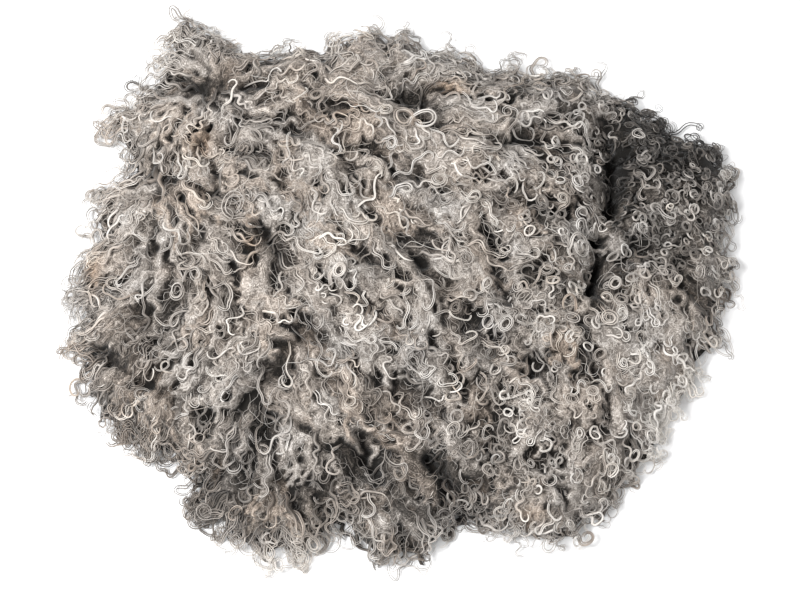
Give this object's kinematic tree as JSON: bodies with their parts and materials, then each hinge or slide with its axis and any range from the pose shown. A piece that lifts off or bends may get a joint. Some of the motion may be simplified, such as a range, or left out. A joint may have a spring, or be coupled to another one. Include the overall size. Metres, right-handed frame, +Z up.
{
  "type": "raw wool fleece",
  "caption": "Raw grey curly fleece shorn in one piece and thrown open lock side up, an uneven oval heap of curly locks with a flat underside.",
  "frame": {"origin": "on the resting surface under the middle of the fleece's box", "axes": "+Z up from the resting surface, +X along the fleece's length, +Y across it towards the corner tuft"},
  "size_m": [0.8162, 0.6974, 0.0974],
  "materials": {
    "wool": "matt, slightly lustrous grey raw wool"
  },
  "bodies": {
    "root": {"fleece": "wool"}
  },
  "joints": []
}
